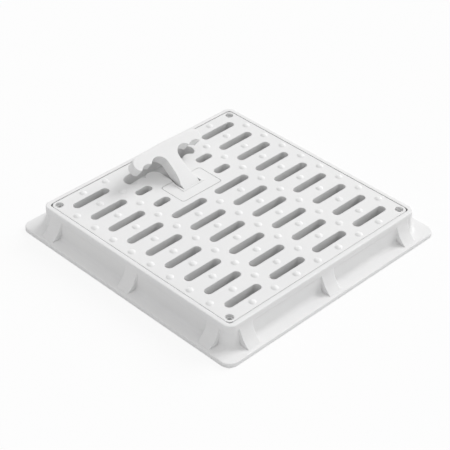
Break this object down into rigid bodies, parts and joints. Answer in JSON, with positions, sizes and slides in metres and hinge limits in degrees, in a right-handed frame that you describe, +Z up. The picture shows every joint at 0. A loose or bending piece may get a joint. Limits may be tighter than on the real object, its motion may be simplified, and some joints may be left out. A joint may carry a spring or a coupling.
{
  "type": "grated access cover",
  "caption": "Square slotted access cover: a studded grate in a flanged frame, lifted by a fold-away T handle with finger hollows.",
  "frame": {"origin": "centre of the frame's base, in the plane that the flange stands on", "axes": "+X along the slots and the handle's hinge, +Y from the middle towards the handle, +Z up out of the grate"},
  "size_m": [0.336, 0.336, 0.0697],
  "materials": {
    "white_plastic": "fine matt, moulded"
  },
  "bodies": {
    "cover": {"frame": "white_plastic", "grate": "white_plastic", "handle_retainer": "white_plastic"},
    "handle": {"handle": "white_plastic"}
  },
  "joints": [
    {"name": "handle_hinge", "type": "hinge", "parent": "cover", "child": "handle", "pos_m": [0, 0.065, 0.0265], "axis": [1, 0, 0], "range_deg": [-36.5, 11.5]}
  ]
}
